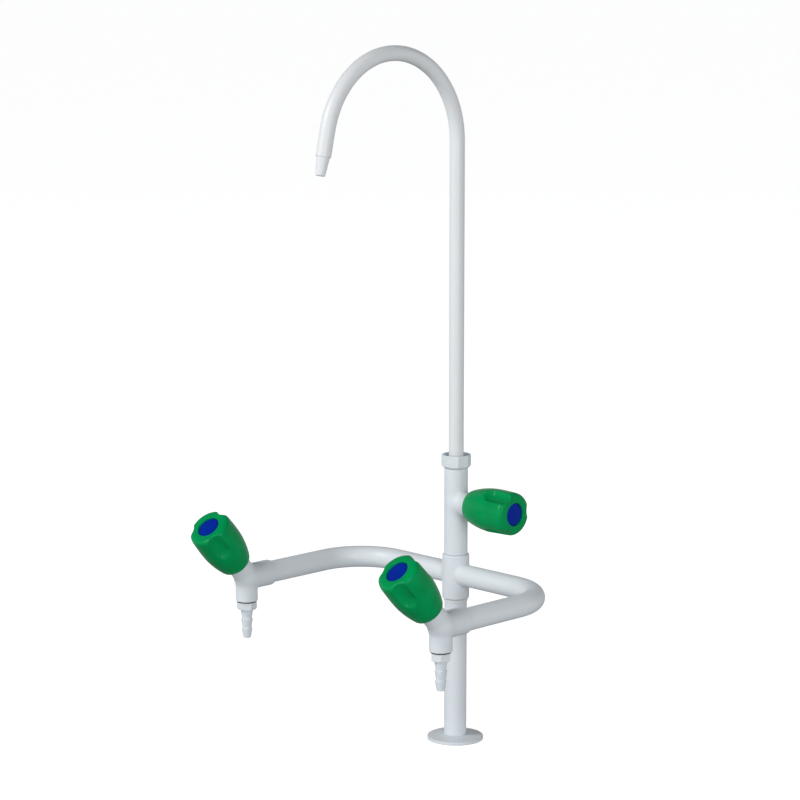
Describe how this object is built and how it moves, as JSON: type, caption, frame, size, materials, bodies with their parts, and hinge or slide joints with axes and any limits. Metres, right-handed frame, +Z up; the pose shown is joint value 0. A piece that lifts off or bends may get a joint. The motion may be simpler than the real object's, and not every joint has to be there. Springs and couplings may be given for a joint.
{
  "type": "laboratory gooseneck tap",
  "caption": "Deck-mounted laboratory tap: column with forward-bent side arms, angled quarter-turn valves with fluted knobs and hose nozzles, and a swivelling gooseneck spout.",
  "frame": {"origin": "centre of the base flange's underside, on the deck plane, at the mouth of the inlet thread", "axes": "+Z up along the column, -Y forward along the outlets, +X to the right, where the top knob points"},
  "size_m": [0.3008, 0.2483, 0.6802],
  "materials": {
    "white_coating": "satin powder coat",
    "green_plastic": "glossy",
    "blue_plastic": "glossy",
    "brass": "turned",
    "ceramic": "lapped",
    "rubber": "matt",
    "steel": "plain",
    "nylon": "matt"
  },
  "bodies": {
    "stand": {"base_flange": "white_coating", "column_tube": "white_coating", "inlet_bush": "brass", "hub_ring": "nylon", "arm_hub": "white_coating", "left_arm": "white_coating", "right_arm": "white_coating", "upper_body": "white_coating", "union_nut": "white_coating", "swivel_washer": "nylon", "left_valve_body": "white_coating", "right_valve_body": "white_coating", "left_nozzle_seal": "rubber", "right_nozzle_seal": "rubber", "left_hose_nozzle": "white_coating", "right_hose_nozzle": "white_coating", "left_bonnet": "brass", "left_bonnet_o_ring": "rubber", "left_seat_seal": "rubber", "left_fixed_disc": "ceramic", "right_bonnet": "brass", "right_bonnet_o_ring": "rubber", "right_seat_seal": "rubber", "right_fixed_disc": "ceramic", "top_bonnet": "brass", "top_bonnet_o_ring": "rubber", "top_seat_seal": "rubber", "top_fixed_disc": "ceramic"},
    "spout": {"spout_spigot": "brass", "spout_o_rings": "rubber", "spout_tube": "white_coating", "spout_nozzle": "white_coating"},
    "left_control": {"left_moving_disc": "ceramic", "left_spindle": "brass", "left_spindle_o_rings": "rubber", "left_circlip": "steel", "left_knob": "green_plastic", "left_knob_screw": "steel", "left_index_button": "blue_plastic"},
    "right_control": {"right_moving_disc": "ceramic", "right_spindle": "brass", "right_spindle_o_rings": "rubber", "right_circlip": "steel", "right_knob": "green_plastic", "right_knob_screw": "steel", "right_index_button": "blue_plastic"},
    "top_control": {"top_moving_disc": "ceramic", "top_spindle": "brass", "top_spindle_o_rings": "rubber", "top_circlip": "steel", "top_knob": "green_plastic", "top_knob_screw": "steel", "top_index_button": "blue_plastic"}
  },
  "joints": [
    {"name": "spout_swivel", "type": "hinge", "parent": "stand", "child": "spout", "pos_m": [0, 0, 0.28], "axis": [0, 0, 1], "continuous": true},
    {"name": "left_knob_turn", "type": "hinge", "parent": "stand", "child": "left_control", "pos_m": [-0.132, -0.1554, 0.1666], "axis": [0.0531, -0.6605, 0.749], "range_deg": [0, 90]},
    {"name": "right_knob_turn", "type": "hinge", "parent": "stand", "child": "right_control", "pos_m": [0.132, -0.1554, 0.1666], "axis": [-0.0531, -0.6605, 0.749], "range_deg": [0, 90]},
    {"name": "top_knob_turn", "type": "hinge", "parent": "stand", "child": "top_control", "pos_m": [0, 0, 0.237], "axis": [1, 0, 0], "range_deg": [0, 90]}
  ]
}
